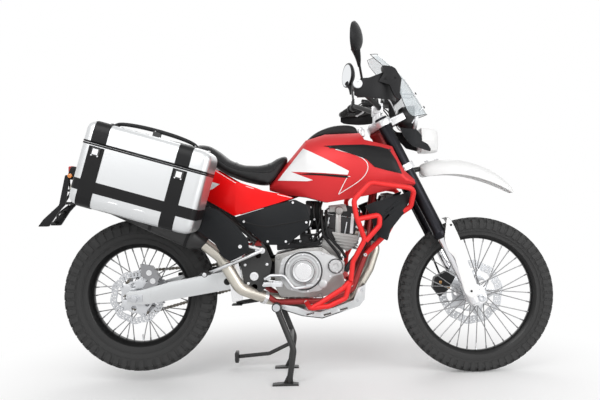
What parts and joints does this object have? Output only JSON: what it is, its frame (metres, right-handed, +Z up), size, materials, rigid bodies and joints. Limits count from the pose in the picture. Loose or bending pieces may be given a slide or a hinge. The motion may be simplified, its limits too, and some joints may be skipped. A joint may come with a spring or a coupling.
{
  "type": "adventure motorcycle",
  "caption": "Tall road-and-trail motorcycle on its centre stand, with spoked wheels, red tank, crash bars, handguards, screen and aluminium side cases.",
  "frame": {"origin": "on the floor under the middle of the machine's length and width", "axes": "+X forward, +Y to the rider's left, +Z up"},
  "size_m": [2.2828, 0.9516, 1.4903],
  "materials": {
    "tyre": "matte moulded rubber",
    "rim_black": "gloss black anodised",
    "hub_silver": "satin with bright spokes",
    "disc_steel": "ground",
    "chain_steel": "oiled",
    "clamp_silver": "satin",
    "tube_black": "gloss black",
    "chrome": "polished",
    "white_plastic": "gloss",
    "black_plastic": "grained",
    "black_metal": "satin black",
    "grip_rubber": "matte",
    "hose_rubber": "matte",
    "lamp": "clear lens in a bright rim",
    "screen_clear": "clear moulded sheet",
    "caliper_metal": "cast",
    "frame_red": "satin dark red",
    "engine_cast": "cast",
    "radiator_black": "matte black",
    "tank_red": "gloss red",
    "red_plastic": "gloss red",
    "seat_vinyl": "grained vinyl",
    "guard_red": "gloss bright red",
    "skid_aluminium": "brushed",
    "arm_silver": "satin",
    "shock_steel": "satin",
    "exhaust_steel": "stainless, heat tinted",
    "shield_black": "charcoal",
    "peg_silver": "satin",
    "case_aluminium": "satin anodised"
  },
  "bodies": {
    "chassis": {"chain": "chain_steel", "crash_bars": "guard_red", "engine_covers": "engine_cast", "engine_crankcase": "engine_cast", "engine_cylinder": "engine_cast", "exhaust_pipes": "exhaust_steel", "foot_controls": "black_metal", "frame": "frame_red", "fuel_tank": "tank_red", "heat_shield": "shield_black", "lower_panels": "black_plastic", "luggage_rack": "black_metal", "pannier_shell_left": "case_aluminium", "pannier_shell_right": "case_aluminium", "passenger_pegs": "peg_silver", "radiator": "radiator_black", "radiator_shrouds": "black_plastic", "rear_caliper": "caliper_metal", "rider_pegs": "peg_silver", "seat": "seat_vinyl", "shock": "shock_steel", "side_panels": "red_plastic", "silencer": "exhaust_steel", "skid_plate": "skid_aluminium", "sprocket_cover": "black_plastic", "stand_shaft": "black_metal", "subframe": "black_metal", "swingarm": "arm_silver", "tail": "black_plastic", "tank_pad": "black_plastic", "tank_panels": "black_plastic"},
    "steering": {"triple_clamps": "clamp_silver", "fork_outers": "tube_black", "fork_lowers": "chrome", "fork_guards": "white_plastic", "front_fender": "white_plastic", "handlebar": "black_metal", "grips": "grip_rubber", "levers": "black_metal", "hand_guards": "black_plastic", "mirrors": "black_plastic", "headlight": "lamp", "headlight_mask": "white_plastic", "screen": "screen_clear", "instruments": "black_plastic", "front_caliper": "caliper_metal", "front_brake_hose": "hose_rubber"},
    "front_wheel": {"front_tyre": "tyre", "front_rim": "rim_black", "front_hub": "hub_silver", "front_disc": "disc_steel"},
    "rear_wheel": {"rear_tyre": "tyre", "rear_rim": "rim_black", "rear_hub": "hub_silver", "rear_disc": "disc_steel", "rear_sprocket": "disc_steel"},
    "centre_stand": {"centre_stand": "black_metal"},
    "side_stand": {"side_stand": "black_metal"},
    "lid_right": {"pannier_lid_right": "case_aluminium"},
    "lid_left": {"pannier_lid_left": "case_aluminium"}
  },
  "joints": [
    {"name": "steering_turn", "type": "hinge", "parent": "chassis", "child": "steering", "pos_m": [0.45094, 0, 0.90918], "axis": [-0.4352, 0, 0.9003], "range_deg": [-35, 35]},
    {"name": "front_wheel_spin", "type": "hinge", "parent": "steering", "child": "front_wheel", "pos_m": [0.794, 0, 0.3475], "axis": [0, 1, 0], "continuous": true},
    {"name": "rear_wheel_spin", "type": "hinge", "parent": "chassis", "child": "rear_wheel", "pos_m": [-0.71099, 0, 0.3855], "axis": [0, 1, 0], "continuous": true},
    {"name": "centre_stand_fold", "type": "hinge", "parent": "chassis", "child": "centre_stand", "pos_m": [-0.098, 0, 0.335], "axis": [0, 1, 0], "range_deg": [0, 75]},
    {"name": "side_stand_swing", "type": "hinge", "parent": "chassis", "child": "side_stand", "pos_m": [-0.01, 0.158, 0.345], "axis": [0, -1, 0], "range_deg": [0, 80]},
    {"name": "lid_right_open", "type": "hinge", "parent": "chassis", "child": "lid_right", "pos_m": [-0.81146, -0.236, 1.04194], "axis": [-0.9573, 0, 0.289], "range_deg": [0, 95]},
    {"name": "lid_left_open", "type": "hinge", "parent": "chassis", "child": "lid_left", "pos_m": [-0.81146, 0.236, 1.04194], "axis": [0.9573, 0, -0.289], "range_deg": [0, 95]}
  ]
}
